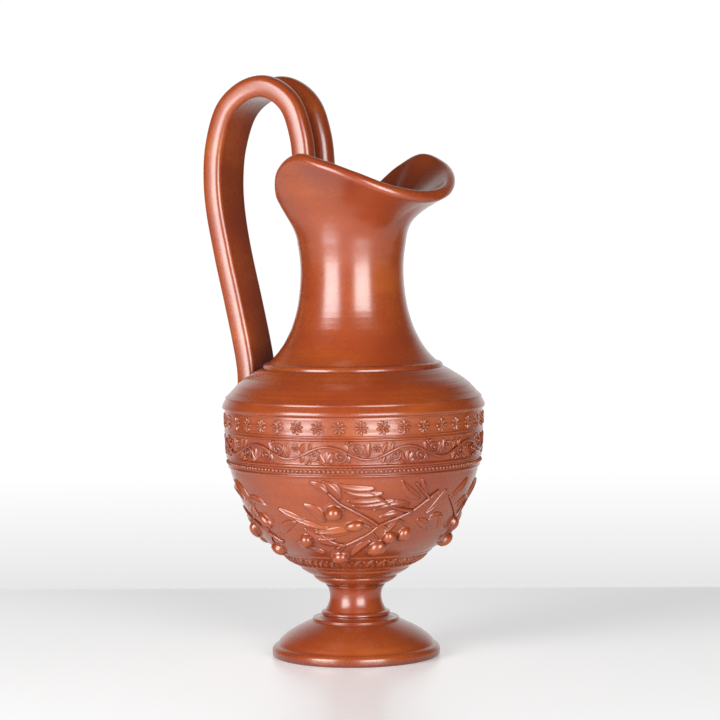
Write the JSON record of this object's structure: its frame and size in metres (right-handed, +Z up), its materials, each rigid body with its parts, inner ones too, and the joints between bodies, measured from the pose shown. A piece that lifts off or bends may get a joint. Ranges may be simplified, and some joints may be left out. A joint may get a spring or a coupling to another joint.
{
  "type": "ceramic pitcher",
  "caption": "High-handled ceramic pitcher with an open pouring lip, spreading pedestal foot and relief bands of rosettes, vine scroll and olive sprays.",
  "frame": {"origin": "middle of the foot's resting ring, in the plane the pitcher stands on, on the axis of the foot, bowl and neck", "axes": "+Z up along the vessel's axis, +X towards the pouring side, the handle standing on -X, +Y to the left seen from behind the handle"},
  "size_m": [0.149, 0.133, 0.2945],
  "materials": {
    "body_slip": "satin-gloss red slip over terracotta",
    "relief_slip": "satin-gloss red slip over terracotta sprigs"
  },
  "bodies": {
    "root": {"pedestal_foot": "body_slip", "bowl": "body_slip", "shoulder": "body_slip", "collar_bead": "body_slip", "neck_and_mouth": "body_slip", "handle_roll_left": "body_slip", "handle_roll_right": "body_slip", "handle_strap": "body_slip", "rosettes": "relief_slip", "bead_row": "relief_slip", "frieze_vine": "relief_slip", "frieze_tendrils": "relief_slip", "frieze_leaves": "relief_slip", "frieze_berries": "relief_slip", "lower_leaf_band": "relief_slip", "olive_fruits": "relief_slip", "olive_twigs": "relief_slip", "olive_leaves": "relief_slip"}
  },
  "joints": []
}
